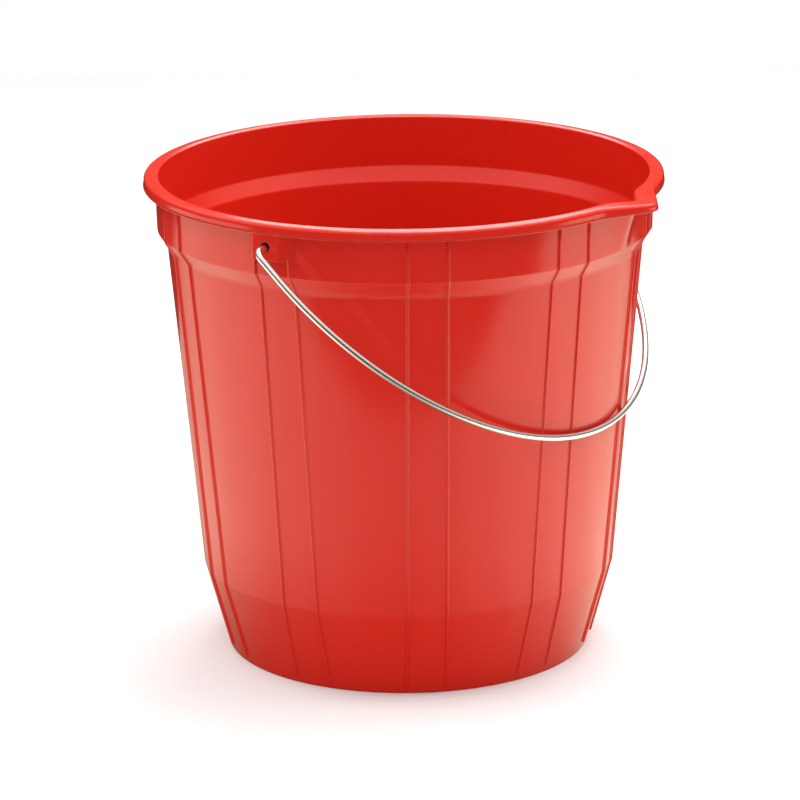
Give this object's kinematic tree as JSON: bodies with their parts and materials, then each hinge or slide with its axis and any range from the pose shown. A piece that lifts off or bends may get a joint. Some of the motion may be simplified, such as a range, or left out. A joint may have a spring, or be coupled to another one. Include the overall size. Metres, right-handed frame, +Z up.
{
  "type": "wash bucket",
  "caption": "Round moulded plastic bucket with a pouring spout, ribbed outside wall, boxed ears and a swinging steel-wire bail.",
  "frame": {"origin": "middle of the foot ring's underside, on the floor", "axes": "+Z up along the bucket's axis, X along the bail's hinge axis, -Y towards the pouring spout"},
  "size_m": [0.3222, 0.3135, 0.282],
  "materials": {
    "red_plastic": "glossy injection-moulded polypropylene",
    "steel_wire": "bright drawn and galvanised"
  },
  "bodies": {
    "bucket": {"bucket_body": "red_plastic"},
    "bail": {"wire_bail": "steel_wire"}
  },
  "joints": [
    {"name": "bail_swing", "type": "hinge", "parent": "bucket", "child": "bail", "pos_m": [0, 0, 0.268], "axis": [-1, 0, 0], "range_deg": [0, 266.1]}
  ]
}
